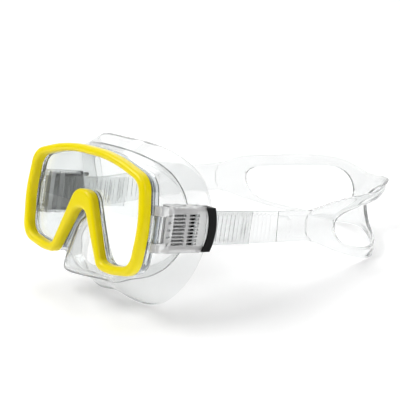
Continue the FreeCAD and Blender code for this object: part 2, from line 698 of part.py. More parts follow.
# the strap's middle line behind each buckle, from the roller to the headband
LEFT_REACH = [(74.9, 82, -3.6), (76.5, 128, -3.4), (78, 184, -2.5)]
RIGHT_REACH = [(-73.6, 82, -2.2), (-66, 141, 8.4), (-57, 205, 17)]
# the headband's middle line, from the left strap round the back of the head to the right strap
HEADBAND = [(78, 184, -2.5), (83, 227, -1.8), (86, 261, 0.2), (72, 289, 4.9), (50, 310, 10), (26, 325, 15),
            (2, 324.5, 19), (-22, 306, 21), (-38, 271.5, 20.7), (-50, 233, 19.8), (-57, 205, 17)]
# half height above and below the middle line at each of those points, and the top's outward lean
LOBES = [(13.5, 13.5, 0), (23, 26, 0), (27, 32.8, 0.15), (27, 32.7, 0.35), (20, 29, 0.5), (17, 27, 0.3),
         (25, 28, 0.1), (28, 28, 0), (26, 27, 0), (21, 23, 0), (13.5, 13.5, 0)]


def across(point):
    """A laid-out strap point, stretched sideways to the mask's present width."""
    return fitted(*point)[0], point[1], point[2]


def reach_points(side):
    """The strap's middle line from the roller to the headband."""
    start = side * run_centre()
    height = size("buckle_height")
    lead = [(start, size("roller_back"), height), (start, size("lever_pivot"), height)]
    return lead + [across(p) for p in (LEFT_REACH if side > 0 else RIGHT_REACH)]


def share_at(points, y):
    """How far along the smooth curve through the points, as a share, it passes a distance back."""
    curve = Part.BSplineCurve()
    curve.interpolate([Vector(*p) for p in points])
    total = curve.length()
    low, high = 0.0, 1.0
    for _ in range(40):
        middle = (low + high) / 2
        place = curve.value(curve.parameterAtDistance(total * middle, curve.FirstParameter))
        if place.y < y:
            low = middle
        else:
            high = middle
    return low


def build_strap(side):
    """One side's strap: the loop round the roller, the free tail, the ribbed run and the plain web."""
    half, thick = size("strap_half"), size("strap_thick")
    height, back = size("buckle_height"), size("roller_back")
    centre = side * roller_centre()
    reach = roller_centre() - run_centre()
    straight = back + 8.0
    loop = []
    steps = 10
    path = [(centre + side * reach, straight, 1.0), (centre + side * reach, back, 1.0)]
    normals = [Vector(side, 0, 0), Vector(side, 0, 0)]
    for number in range(1, steps):
        angle = math.pi * number / steps
        path.append((centre + side * reach * math.cos(angle), back - reach * math.sin(angle), 1.0))
        normals.append(Vector(side * math.cos(angle), -math.sin(angle), 0))
    path.append((centre - side * reach, back - 0.01, 1.0))
    normals.append(Vector(-side, 0, 0))
    for (x, y, _), normal in zip(path, normals):
        loop.append((normal, [Vector(x, y, height - half), Vector(x, y, height + half)]))
    shape_piece(sided("strap_loop", side), band_solid(loop, thick))
    tail = []
    tail_x = side * tail_centre()
    for y in (straight + size("web_gap"), size("tail_end")):
        tail.append((Vector(side, 0, 0), [Vector(tail_x, y, height - half), Vector(tail_x, y, height + half)]))
    shape_piece(sided("strap_tail", side), band_solid(tail, thick))
    points = reach_points(side)
    run_share = share_at(points, size("run_end"))
    web_share = share_at(points, size("run_end") + size("web_gap"))
    first = share_at(points, back + size("web_gap"))
    end = 1.0 - size("web_gap") / 190.0
    shape_piece(sided("strap_run", side), band_solid(stations_along(points, plain, 14, first, run_share), thick))
    shape_piece(sided("strap_web", side), band_solid(stations_along(points, plain, 7, web_share, end), thick))


def build_headband():
    """Headband: two lobes with a window each, joined by a bridge at the back of the head."""
    count = 45
    middle_line = [across(p) for p in HEADBAND]
    curve = Part.BSplineCurve()
    curve.interpolate([Vector(*p) for p in middle_line])
    total = curve.length()
    marks = [curve.length(curve.FirstParameter, curve.parameter(Vector(*p))) / total if i else 0.0
             for i, p in enumerate(middle_line)]
    start = size("window_start") / total
    bridge = size("bridge_half") / total
    windows = [(start, 0.5 - bridge), (0.5 + bridge, 1.0 - start)]

    def levels(share):
        for i in range(len(marks) - 1):
            if share <= marks[i + 1] or i == len(marks) - 2:
                t = min(1.0, (share - marks[i]) / (marks[i + 1] - marks[i]))
                top, bottom, lean = between(LOBES[i], LOBES[i + 1], t)
                break
        open_high, open_low = 4.0, -4.0
        for low, high in windows:
            if low <= share <= high:
                u = 2 * (share - low) / (high - low) - 1
                width = (1 - abs(u) ** 5) ** 0.5
                open_high = max(size("window_top") * width, 4.0)
                open_low = min(-size("window_bottom") * width, -4.0)
        return [-bottom, max(open_low, -bottom + 6), min(open_high, top - 6), top], lean

    def solid_here(i, j):
        low, high = i / (count - 1), (i + 1) / (count - 1)
        inside = any(low >= a and high <= b for a, b in windows)
        return j != 1 or not inside

    stations = stations_along(middle_line, levels, count)
    return shape_piece("headband", band_solid(stations, size("band_thick"), solid_here))


# ---------------------------------------------------------------- build, stand up, check, write

def build_all():
    build_bezel()
    build_lens()
    build_seal()
    build_main_frame()
    build_skirt()
    for side in (1, -1):
        hinge, back = side * beside("hinge_out"), size("hinge_back")
        axle = side * roller_centre()
        build_buckle(side)
        build_rod(sided("swivel_pin", side), hinge, back, "pin_radius", "sizes.strap_half + sizes.buckle_rim - 0.6")
        build_rod(sided("strap_roller", side), axle, size("roller_back"), "roller_radius",
                  "sizes.strap_half + sizes.roller_over", bore="axle_radius")
        build_rod(sided("roller_pin", side), axle, size("roller_back"), "axle_radius",
                  "(sizes.strap_half + sizes.buckle_rim) - 0.2")
        build_lever(side)
        build_rod(sided("lever_pin", side), axle + side * 0.3, size("lever_pivot"), "axle_radius",
                  "(sizes.strap_half + sizes.buckle_rim) + 0.4")
        build_strap(side)
    build_headband()


def stand_up():
    """Lean every piece back together and set the lowest point on Z = 0, centred over the origin."""
    lean = Rotation(Vector(1, 0, 0), -size("lean_back"))
    whole = FreeCAD.BoundBox()
    for piece in pieces.values():
        piece.Placement = Placement(Vector(0, 0, 0), lean)
    doc.recompute()
    for piece in pieces.values():
        whole.add(piece.Shape.optimalBoundingBox(False))
    lift = Vector(-whole.Center.x, -whole.Center.y, -whole.ZMin)
    for piece in pieces.values():
        piece.Placement = Placement(lift, lean)
    doc.recompute()
    return Placement(lift, lean)


def check_and_write():
    """Refuse a failed feature or a broken shape, then write one STEP file for each piece."""
    for thing in doc.Objects:
        if "Invalid" in thing.State or "Error" in thing.State:
            raise RuntimeError(f"{thing.Name} failed: {thing.State}")
    for name, piece in pieces.items():
        if piece.Shape.isNull() or not piece.Shape.isValid() or piece.Shape.Volume <= 0:
            raise RuntimeError(f"{name} has no valid shape")
    for name, piece in pieces.items():
        piece.Shape.exportStep(f"parts/{name}.step")
        print(f"{name:22s} {len(piece.Shape.Solids)} solid, {piece.Shape.Volume / 1000:8.3f} cm3")


build_all()
stance = stand_up()
check_and_write()
print("lift", *[round(v, 6) for v in stance.Base])
print("strap layers", run_centre(), roller_centre(), tail_centre())
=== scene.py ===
# %% [markdown]
# This lesson dresses a packed diving mask: every hard part comes from the CAD frame, and the soft
# silicone parts are drawn again here as finer meshes.

# %% Load the frame
import math

import bmesh
import bpy
import numpy as np
from mathutils import Matrix, Vector

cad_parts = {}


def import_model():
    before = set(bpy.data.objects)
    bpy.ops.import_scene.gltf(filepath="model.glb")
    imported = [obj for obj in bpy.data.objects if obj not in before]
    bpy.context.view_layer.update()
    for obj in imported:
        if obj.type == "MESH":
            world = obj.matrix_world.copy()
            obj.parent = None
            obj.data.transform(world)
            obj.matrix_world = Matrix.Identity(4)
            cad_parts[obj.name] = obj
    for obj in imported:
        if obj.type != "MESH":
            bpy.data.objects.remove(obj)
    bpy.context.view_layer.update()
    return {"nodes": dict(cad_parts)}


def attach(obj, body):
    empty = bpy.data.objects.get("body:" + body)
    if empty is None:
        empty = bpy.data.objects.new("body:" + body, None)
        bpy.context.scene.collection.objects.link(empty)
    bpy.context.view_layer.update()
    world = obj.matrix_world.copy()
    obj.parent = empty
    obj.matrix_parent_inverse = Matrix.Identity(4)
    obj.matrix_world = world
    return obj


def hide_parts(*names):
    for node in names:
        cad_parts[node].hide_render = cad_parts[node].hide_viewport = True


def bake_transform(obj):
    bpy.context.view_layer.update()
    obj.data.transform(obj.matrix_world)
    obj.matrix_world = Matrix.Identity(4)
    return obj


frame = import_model()

# %% [markdown]
# The part was drawn in the mask's own frame and then leaned back. These two numbers, the lean and the
# lift, take a point from the mask's frame, in millimetres, to Blender's world, in metres. Everything
# below is written in the mask's millimetres, because those are the numbers a designer would know.

# %% From the mask's millimetres to the world
LEAN = math.radians(11.75)
LIFT = (-3.521969, -152.409343, 86.775124)


def world(x, y, z):
    """A point of the mask's frame, in mm, as a world point in metres."""
    back = math.cos(LEAN) * y + math.sin(LEAN) * z
    up = -math.sin(LEAN) * y + math.cos(LEAN) * z
    return Vector(((x + LIFT[0]) / 1000, (back + LIFT[1]) / 1000, (up + LIFT[2]) / 1000))


def mix(a, b, share):
    """A share of the way from a to b, for numbers or tuples."""
    if isinstance(a, (int, float)):
        return a + (b - a) * share
    return tuple(p + (q - p) * share for p, q in zip(a, b))


def smooth(share):
    """A soft step from 0 to 1."""
    share = max(0.0, min(1.0, share))
    return share * share * (3 - 2 * share)


print("bezel centre:", [round(v, 4) for v in world(0, 0, 0)])

# %% [markdown]
# A mesh needs only vertices and faces. These helpers make one smooth object from points and faces, skin
# a row of loops, and space points evenly along a curve. Every soft piece below is made with them.

# %% Meshes from grids
def make_mesh(name, points, faces):
    """One smooth-shaded object from world points and faces."""
    mesh = bpy.data.meshes.new(name)
    mesh.from_pydata([tuple(p) for p in points], [], faces)
    mesh.validate()
    shell = bmesh.new()
    shell.from_mesh(mesh)
    bmesh.ops.remove_doubles(shell, verts=shell.verts, dist=1e-7)
    bmesh.ops.recalc_face_normals(shell, faces=shell.faces)
    shell.to_mesh(mesh)
    shell.free()
    mesh.shade_smooth()
    thing = bpy.data.objects.new(name, mesh)
    bpy.context.scene.collection.objects.link(thing)
    return thing


def tube_mesh(name, loops, closed=False, caps=(True, True)):
    """A skin over a row of closed loops of equal length; caps says which ends are closed."""
    count = len(loops[0])
    points = [p for loop in loops for p in loop]
    faces = []
    spans = len(loops) if closed else len(loops) - 1
    for i in range(spans):
        k = (i + 1) % len(loops)
        for j in range(count):
            m = (j + 1) % count
            faces.append((i * count + j, i * count + m, k * count + m, k * count + j))
    if caps[0] and not closed:
        faces.append(tuple(range(count)))
    if caps[1] and not closed:
        last = (len(loops) - 1) * count
        faces.append(tuple(last + j for j in reversed(range(count))))
    return make_mesh(name, points, faces)


def curve_points(points, spacing):
    """Points evenly spaced, in mm, along a smooth Catmull-Rom curve through the given points."""
    given = [np.array(p, float) for p in points]
    given = [2 * given[0] - given[1]] + given + [2 * given[-1] - given[-2]]
    fine = []
    for a, b, c, d in zip(given, given[1:], given[2:], given[3:]):
        for t in np.linspace(0, 1, 24, endpoint=False):
            fine.append(0.5 * (2 * b + (c - a) * t + (2 * a - 5 * b + 4 * c - d) * t * t
                               + (3 * b - a - 3 * c + d) * t ** 3))
    fine.append(given[-2])
    fine = np.array(fine)
    steps = np.concatenate([[0], np.cumsum(np.linalg.norm(np.diff(fine, axis=0), axis=1))])
    count = max(2, int(steps[-1] / spacing) + 1)
    marks = np.linspace(0, steps[-1], count)
    even = np.array([[np.interp(m, steps, fine[:, k]) for k in range(3)] for m in marks])
    return even, marks


# %% [markdown]
# Materials are built from node graphs, so nothing is painted on an image. One function turns a hex
# colour into linear light, and one adds a node with its settings and links in a single line.

# %% Material helpers
def linear(code):
    """An sRGB hex colour as linear red, green, blue and alpha."""
    parts = [int(code[i:i + 2], 16) / 255 for i in (1, 3, 5)]
    return tuple(c / 12.92 if c <= 0.04045 else ((c + 0.055) / 1.055) ** 2.4 for c in parts) + (1.0,)


def add(tree, kind, links=(), **settings):
    """A node with its inputs set by name, its properties set by name, and its links made."""
    node = tree.nodes.new(kind)
    for name, value in settings.items():
        label = name.replace("_", " ")
        if hasattr(node, name):
            setattr(node, name, value)
        elif label in node.inputs:
            node.inputs[label].default_value = value
        else:
            raise KeyError(f"{kind} has no {name}")
    for socket, source in links:
        tree.links.new(source, node.inputs[socket])
    return node


def new_material(name):
    """An empty material with its output node, ready for a graph."""
    material = bpy.data.materials.new(name)
    material.use_nodes = True
    material.node_tree.nodes.clear()
    output = material.node_tree.nodes.new("ShaderNodeOutputMaterial")
    return material, material.node_tree, output


def grain(tree, size_mm, depth_mm, strength=0.4, detail=3.0):
    """Fine surface relief: noise with cells of a real size, turned into a bump."""
    place = add(tree, "ShaderNodeTexCoord")
    noise = add(tree, "ShaderNodeTexNoise", [("Vector", place.outputs["Object"])],
                Scale=1000.0 / size_mm, Detail=detail)
    return add(tree, "ShaderNodeBump", [("Height", noise.outputs["Fac"])],
               Strength=strength, Distance=depth_mm / 1000)


# %% [markdown]
# Each material is named for what the part is really made of. The silicones bend light a little less
# than the rigid clear plastic does, and a thin cloudiness inside them keeps them from looking like
# glass.

# %% Materials
def solid_plastic(name, colour, roughness, coat=0.0, size_mm=1.2, gloss_level=0.5):
    """Opaque moulded plastic with a faint moulding texture and slightly uneven gloss."""
    material, tree, output = new_material(name)
    bump = grain(tree, size_mm, 0.02, 0.25)
    place = add(tree, "ShaderNodeTexCoord")
    patches = add(tree, "ShaderNodeTexNoise", [("Vector", place.outputs["Object"])], Scale=60.0, Detail=4.0)
    gloss = add(tree, "ShaderNodeMapRange", [("Value", patches.outputs["Fac"])],
                To_Min=roughness * 0.8, To_Max=roughness * 1.25)
    shader = add(tree, "ShaderNodeBsdfPrincipled",
                 [("Roughness", gloss.outputs["Result"]), ("Normal", bump.outputs["Normal"])],
                 Base_Color=linear(colour), IOR=1.5, Specular_IOR_Level=gloss_level,
                 Coat_Weight=coat, Coat_Roughness=0.06)
    tree.links.new(shader.outputs[0], output.inputs["Surface"])
    return material


def clear_material(name, tint, roughness, index, haze, haze_colour, size_mm=2.0, depth_mm=0.01):
    """A see-through moulding: refraction, plus a share of plain scattering that makes it milky."""
    material, tree, output = new_material(name)
    bump = grain(tree, size_mm, depth_mm, 0.3, 2.0)
    body = add(tree, "ShaderNodeBsdfPrincipled", [("Normal", bump.outputs["Normal"])],
               Base_Color=linear(tint), Roughness=roughness, IOR=index, Transmission_Weight=1.0)
    milk = add(tree, "ShaderNodeBsdfPrincipled", [("Normal", bump.outputs["Normal"])],
               Base_Color=linear(haze_colour), Roughness=0.35, IOR=index)
    place = add(tree, "ShaderNodeTexCoord")
    cloud = add(tree, "ShaderNodeTexNoise", [("Vector", place.outputs["Object"])], Scale=35.0, Detail=3.0)
    share = add(tree, "ShaderNodeMapRange", [("Value", cloud.outputs["Fac"])],
                To_Min=haze * 0.75, To_Max=haze * 1.25)
    both = add(tree, "ShaderNodeMixShader", [(0, share.outputs["Result"])])
    tree.links.new(body.outputs[0], both.inputs[1])
    tree.links.new(milk.outputs[0], both.inputs[2])
    tree.links.new(both.outputs[0], output.inputs["Surface"])
    return material


# glossy acrylonitrile-butadiene-styrene, the usual plastic for a coloured bezel
yellow_abs = solid_plastic("yellow_abs", "#FBE600", 0.3, coat=0.12, gloss_level=0.25)
# glass-filled nylon, satin black
black_nylon = solid_plastic("black_nylon", "#050506", 0.4, size_mm=0.6, gloss_level=0.12)
# clear polycarbonate, for the frame and the buckles
polycarbonate = clear_material("clear_polycarbonate", "#F1F5F7", 0.04, 1.585, 0.05, "#E4EAEE")
# the same plastic with a frosted inside, for the buckles
frosted = clear_material("frosted_polycarbonate", "#FFFFFF", 0.08, 1.585, 0.3, "#FFFFFF")
# clear liquid silicone rubber, for the skirt
skirt_silicone = clear_material("skirt_silicone", "#FBFCFC", 0.06, 1.41, 0.08, "#F4F6F6")
# the same rubber, a little cloudier, for the strap
strap_silicone = clear_material("strap_silicone", "#FAFBFB", 0.08, 1.41, 0.11, "#F4F6F6")
# tempered glass
glass = clear_material("tempered_glass", "#FAFDFC", 0.0, 1.52, 0.01, "#E8EEEC", depth_mm=0.0)
print("materials:", len(bpy.data.materials))

# %% [markdown]
# The skirt is the big clear moulding. Only the wearer's left half is listed: where the wall leaves the
# frame, where it turns into the flange that lies on the face, and the flange's edge. The rows are joined
# into a closed shell, and two rounds of subdivision turn the coarse cage into a flowing surface.

# %% Skirt cage
# front ring just inside the frame, crown to nose arch: x and z
FRONT = [(0, 42.6), (17.9, 42.3), (40, 38.9), (55.6, 34.7), (66.2, 30.2), (69.7, 13.5), (72.2, -2),
         (71.6, -16), (70.9, -27.5), (68.3, -36.9), (55.7, -41.2), (42.7, -43), (31, -41.2), (21.3, -25.6),
         (13.6, -8.8), (6.9, -1.2), (0, 0.6)]
# where the wall turns into the flange, and the flange's edge: x, distance back and z
RIDGE = [(0, 22, 48.5), (20, 23, 48), (40, 27, 44.5), (54, 33, 39.5), (63, 41, 28.5), (66.5, 48, 14),
         (67.5, 51, -4), (67, 50, -22), (64, 39, -38), (56, 30, -46), (47, 26, -49.5), (38, 24.5, -52),
         (32, 24, -55), (24, 23, -58.5), (16, 22.5, -60), (8, 22, -59.5), (0, 22, -59)]
EDGE = [(0, 34, 55.5), (17, 35, 56), (37, 40, 54.5), (55, 50, 48), (65.5, 62, 36), (68.8, 72, 18),
        (69.5, 76, 0), (69.3, 73, -20), (68.5, 67, -37), (66, 62, -50), (59, 57, -63), (49.5, 54.5, -71.5),
        (41, 53.5, -76), (31, 52, -77.8), (20, 49.5, -77), (9, 47, -74.5), (0, 46, -73)]
# the nose pocket: the wall's rows between front ring and ridge, for the columns under the arch
NOSE = {
    12: [(30.5, 14.8, -46), (28.8, 15, -47), (29.2, 15.5, -48.5),
         (29.7, 16.5, -50), (30.4, 18, -52), (31, 20.5, -53.5)],
    13: [(18.4, 14.8, -28), (18.8, 8.5, -34), (20, 7, -43),
         (20, 6.5, -49), (20.5, 8, -54.5), (22, 15, -57.5)],
    14: [(11, 14.8, -12), (10.6, 4, -17.5), (12, 2, -31),
         (13.5, 0, -46), (14, -1, -54), (15, 10, -57.5)],
    15: [(5.2, 14.8, -5), (4.5, 1, -13), (6, -2.5, -29),
         (7, -7, -46), (7, -8.5, -54.5), (8, 7, -57.5)],
    16: [(0, 14.8, -3.8), (0, -2.5, -8.5), (0, -8.5, -27), (0, -14.5, -47), (0, -12, -54.5), (0, 6, -57.5)],
}


# distances back of the front ring and of the short collar behind it
RING_BACK, COLLAR_BACK = 10.4, 12.6


def skirt_cage():
    """Rows of outer points round the whole skirt, each from the front ring to the flange's edge."""
    rows = []
    for number, (x, z) in enumerate(FRONT):
        start, collar = (x, RING_BACK, z), (x, COLLAR_BACK, z)
        ridge, edge = RIDGE[number], EDGE[number]
        if number in NOSE:
            steps = NOSE[number]
        else:
            steps = []
            for k in range(1, 7):
                place = mix(collar, ridge, k / 7)
                drawn = (collar[0] - ridge[0]) * ((k / 7) ** 0.5 - k / 7) if 3 <= number <= 9 else 0.0
                steps.append((place[0] - drawn, place[1], place[2]))
        near = mix(ridge, edge, 0.12)
        flange = [near, mix(ridge, edge, 0.5), mix(ridge, edge, 0.9), mix(ridge, edge, 0.96), edge]
        rows.append([start, collar] + steps + [mix(steps[-1], ridge, 0.75)] + flange)
    return rows + [[(-x, y, z) for x, y, z in row] for row in rows[-2:0:-1]]


def shell_from_cage(name, rows, walls, levels):
    """A closed wall of given thicknesses behind a cage, then subdivided for real."""
    grid = np.array(rows, float)
    along = np.roll(grid, -1, axis=0) - np.roll(grid, 1, axis=0)
    down = np.gradient(grid, axis=1)
    normal = np.cross(along, down)
    normal /= np.linalg.norm(normal, axis=2, keepdims=True)
    if normal[0, 2, 2] > 0:
        normal = -normal
    inner = grid + normal * np.array(walls)[None, :, None]
    inner[:, 0, 1] = grid[:, 0, 1]
    loops = [[world(*p) for p in list(grid[i]) + list(inner[i][::-1])] for i in range(len(grid))]
    shell = tube_mesh(name, loops, closed=True)
    bpy.context.view_layer.objects.active = shell
    rounding = shell.modifiers.new("subdivide", "SUBSURF")
    rounding.levels = rounding.render_levels = levels
    with bpy.context.temp_override(object=shell):
        bpy.ops.object.modifier_apply(modifier="subdivide")
    return shell


WALL, FLANGE_WALLS = 1.9, [1.7, 1.2, 0.9, 1.5, 1.5]
cage = skirt_cage()
columns = len(cage[0])
skirt = shell_from_cage("skirt_shell", cage, [WALL] * (columns - 5) + FLANGE_WALLS, 2)
skirt.data.materials.append(skirt_silicone)
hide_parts("skirt")
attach(skirt, "mask")
print("skirt faces:", len(skirt.data.polygons))

# %% [markdown]
# Behind the flange, a second and softer lip runs round the inside of the skirt, because two thin edges
# seal on a face better than one. It starts on the ridge and leans inwards.

# %% Inner sealing lip
def lip_cage():
    """Rows of outer points for the lip, each from the skirt's inner wall to the lip's free edge."""
    middle = np.array([0.0, 48.0, -6.0])
    rows = []
    for number in range(len(RIDGE)):
        ridge, edge = np.array(RIDGE[number], float), np.array(EDGE[number], float)
        inwards = middle - ridge
        inwards[1] = 0
        inwards /= np.linalg.norm(inwards)
        reach = 11.0 if number < 11 else 6.0
        root = ridge + (edge - ridge) * 0.08 + inwards * 1.5
        tip = root + inwards * reach + np.array([0, 1.0, 0]) * reach * 0.75
        rows.append([tuple(mix(tuple(root), tuple(tip), t)) for t in (0.0, 0.12, 0.35, 0.6, 0.82, 0.94, 1.0)])
    return rows + [[(-x, y, z) for x, y, z in row] for row in rows[-2:0:-1]]


lip = shell_from_cage("skirt_lip", lip_cage(), [1.2, 1.0, 0.9, 0.8, 0.7, 0.9, 0.9], 2)
lip.data.materials.append(skirt_silicone)
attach(lip, "mask")
print("lip faces:", len(lip.data.polygons))

# %% [markdown]
# The strap is swept: a cross-section is carried along the strap's middle line and turned to stand
# across it. The section has the strap's raised edges, and the ribs come and go along its length.

# %% Strap sections
HALF = 13.5
BODY, RIM = 0.72, 0.22
RIB_PITCH, RIB_HIGH = 4.8, 0.7
# distance back at which the run goes over into the headband's web, which is moulded in one with it
JOINT = 145.0


def up_at(y):
    """Which way the strap's height points: the mask's own up at the buckle, upright at the head."""
    turn = LEAN * smooth((y - 75) / 150)
    return np.array([0, -math.sin(turn), math.cos(turn)])


def strap_section(place, normal, up, outside, inside):
    """A closed loop across the strap; outside and inside give each face's height at a level."""
    levels = [-1, -0.985, -0.95, -0.9, -0.85, -0.6, -0.2, 0.2, 0.6, 0.85, 0.9, 0.95, 0.985, 1]
    shares = [0.25, 0.75, 0.97, 1, 1, 1, 1, 1, 1, 1, 1, 0.97, 0.75, 0.25]
    front = [place + up * (h * HALF) + normal * (outside(h) * s) for h, s in zip(levels, shares)]
    back = [place + up * (h * HALF) - normal * (inside(h) * s) for h, s in zip(levels, shares)]
    return [world(*p) for p in front + back[::-1]]


def rib_height(distance, start, end):
    """How far a rib stands up at a distance along the ribbed stretch, in mm."""
    if not start < distance < end:
        return 0.0
    phase = ((distance - start) % RIB_PITCH) / RIB_PITCH
    return RIB_HIGH * smooth(min(phase, 1 - phase) / 0.22 - 0.35)


def face_height(h, rib):
    """One face's height at a level h: the body, its raised rim, and a rib between the rims."""
    rim = RIM * smooth((abs(h) - 0.84) / 0.06) if rib >= 0 else 0.0
    return BODY + rim + (rib if abs(h) < 0.82 else 0.0)


def swept_strap(name, places, normals, ups, ribs_outside, ribs_inside, caps=(True, True)):
    """A strap along given places; the two functions give rib heights on its two faces."""
    loops = []
    for i, (place, normal, up) in enumerate(zip(places, normals, ups)):
        rib_out, rib_in = ribs_outside(i), ribs_inside(i)
        loops.append(strap_section(place, normal, up,
                                   lambda h: face_height(h, rib_out), lambda h: face_height(h, rib_in)))
    return tube_mesh(name, loops, caps=caps)


# %% [markdown]
# One sweep makes the strap's inner layer and its turn round the roller. It starts where the outer
# layer ends, goes forward round the roller, and comes back along the head side.

# %% Inner layers and the turn round each roller
# distances from the mask's middle: the roller's axis and the strap's inner and outer layers
ROLLER, RUN, TAIL = 75.7, 73.2, 78.2
# the roller's distance back, the lever pivot's, and the height of the strap's middle
BACK, PIVOT_BACK, MID = 21.5, 48.5, -3.4
# the outer layer starts this far behind the roller
LAP = 8.0
LEFT_REACH = [(74.9, 82, -3.6), (76.5, 128, -3.4), (78, 184, -2.5)]
RIGHT_REACH = [(-73.6, 82, -2.2), (-66, 141, 8.4), (-57, 205, 17)]
HEADBAND = [(78, 184, -2.5), (83, 227, -1.8), (86, 261, 0.2), (72, 289, 4.9), (50, 310, 10), (26, 325, 15),
            (2, 324.5, 19), (-22, 306, 21), (-38, 271.5, 20.7), (-50, 233, 19.8), (-57, 205, 17)]


def cut_at_joint(points, keep_front):
    """The part of a row of points before or behind the joint, ended exactly on it."""
    row = list(points)
    kept = [p for p in row if (p[1] < JOINT) == keep_front]
    for a, b in zip(row, row[1:]):
        if (a[1] < JOINT) != (b[1] < JOINT):
            seam = a + (b - a) * (JOINT - a[1]) / (b[1] - a[1])
            if keep_front:
                return np.array([p for p in kept if JOINT - p[1] > 0.05] + [seam])
    return np.array(kept)


def build_inner_layer(side):
    """The ribbed run behind one buckle with its turn round the roller."""
    reach = ROLLER - RUN
    turn = []
    for angle in np.linspace(0, math.pi, 22):
        turn.append((side * (ROLLER + reach * math.cos(angle)), BACK - reach * math.sin(angle), MID))
    lead = [(side * TAIL, y, MID) for y in np.linspace(BACK + LAP, BACK + 1, 8)]
    back = LEFT_REACH + HEADBAND[1:2] if side > 0 else RIGHT_REACH + HEADBAND[-2:-1]
    run, marks = curve_points([(side * RUN, BACK, MID), (side * RUN, PIVOT_BACK, MID)] + back, 0.5)
    run = cut_at_joint(run, keep_front=True)
    places = np.array(lead + turn + [tuple(p) for p in run[1:]])
    normals, ups = [], []
    for i in range(len(places)):
        a, b = places[max(i - 1, 0)], places[min(i + 1, len(places) - 1)]
        up = up_at(places[i][1])
        normal = np.cross(b - a, up) * side
        normals.append(normal / np.linalg.norm(normal))
        ups.append(up)
    first_run = len(lead) + len(turn)

    def ribs(i):
        if i < len(lead):
            # thinner here, where the lever's bars come up when it is pressed
            return -0.2
        return rib_height(places[i][1], 58, 140) if i > first_run else 0.0

    prefix = "left" if side > 0 else "right"
    piece = swept_strap(prefix + "_strap_inner", places, normals, ups, ribs, lambda i: 0.0, (True, False))
    piece.data.materials.append(strap_silicone)
    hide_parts(prefix + "_strap_run", prefix + "_strap_loop")
    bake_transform(piece)
    return piece


for side in (1, -1):
    piece = build_inner_layer(side)
    print(piece.name, "faces:", len(piece.data.polygons))


# %% [markdown]
# The outer layer is the strap's free end. It slides through the buckle as the strap is adjusted, and
# near its tip it carries three grip bars.

# %% Free tails
TAIL_END, RIBS_END = 111.0, 97.0
GRIP_BARS = (101.5, 104.6, 107.7)


def build_tail(side):
    """The free end outside one buckle."""
    ys = np.arange(BACK + LAP, TAIL_END + 0.01, 0.5)
    places = np.array([(side * TAIL, y, MID) for y in ys])
    normals = [np.array([side, 0.0, 0.0])] * len(ys)
    ups = [np.array([0, 0, 1.0])] * len(ys)

    def outside(i):
        y = ys[i]
        bars = max(math.exp(-((y - c) / 0.9) ** 2) for c in GRIP_BARS)
        return 0.75 * bars + (0.0 if y > RIBS_END else 0.5 * rib_height(y, 30, RIBS_END))

    def inside(i):
        return rib_height(ys[i], 62, RIBS_END)

    prefix = "left" if side > 0 else "right"
    piece = swept_strap(prefix + "_strap_outer", places, normals, ups, outside, inside)
    piece.data.materials.append(strap_silicone)
    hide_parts(prefix + "_strap_tail")
    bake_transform(piece)
    return piece


for side in (1, -1):
    piece = build_tail(side)
    print(piece.name, "faces:", len(piece.data.polygons))

# %% [markdown]
# The headband is one moulding from web to web. A grid of stations runs round the back of the head;
# at each one an upper and a lower strip are set out, and where the window is open the strip between
# them is simply left out. The rim is a little thicker than the sheet it borders. The two ends stay open,
# because there the web and the strap run are one moulding and no face lies between them.

# %% Headband and webs
# at each of those points: half height above, half height below, and how far the top leans out
LOBES = [(13.5, 13.5, 0), (24.5, 26, 0), (30.5, 32.8, 0.15), (34, 32.7, 0.3), (29, 29, 0.45), (24, 31, 0.3),
         (29.5, 36, 0.1), (28, 36.5, 0), (24, 32, 0), (20, 23, 0), (13.5, 13.5, 0)]
# and the window's upper and lower edge
WINDOW_EDGES = [(13, 18), (14, 19), (21.5, 22), (25, 22), (21, 22), (17, 24), (21, 31), (16.5, 32),
                (12.5, 27), (11, 21), (10, 18)]
# how far each window stays from its lobe's start, and half the bridge between them
WINDOW_START, BRIDGE = 33.0, 12.0
# half the sheet's thickness, its rim, and the lobes' step over the web
SHEET, BAND_RIM, STEP = 0.78, 0.42, 0.5


def band_line():
    """The middle line from web to web, with the distance along it in mm from the left lobe's start."""
    places, marks = curve_points(LEFT_REACH[:2] + HEADBAND + RIGHT_REACH[1::-1], 0.5)
    start = int(np.argmin(np.linalg.norm(places - np.array(HEADBAND[0]), axis=1)))
    marks = marks - marks[start]
    keys = [marks[int(np.argmin(np.linalg.norm(places - np.array(p), axis=1)))] for p in HEADBAND]
    behind = [i for i in range(len(places)) if places[i][1] > JOINT]
    ends = []
    for a, b in ((behind[0] - 1, behind[0]), (behind[-1] + 1, behind[-1])):
        share = (JOINT - places[a][1]) / (places[b][1] - places[a][1])
        ends.append((places[a] + (places[b] - places[a]) * share, mix(marks[a], marks[b], share)))
    line = np.array([ends[0][0]] + [places[i] for i in behind] + [ends[1][0]])
    return line, np.array([ends[0][1]] + [marks[i] for i in behind] + [ends[1][1]]), keys


band_places, band_marks, keys = band_line()
total = keys[-1]
windows = [(WINDOW_START, total / 2 - BRIDGE), (total / 2 + BRIDGE, total - WINDOW_START)]
print("headband length:", round(total, 1), "mm, windows:", [[round(v) for v in w] for w in windows])


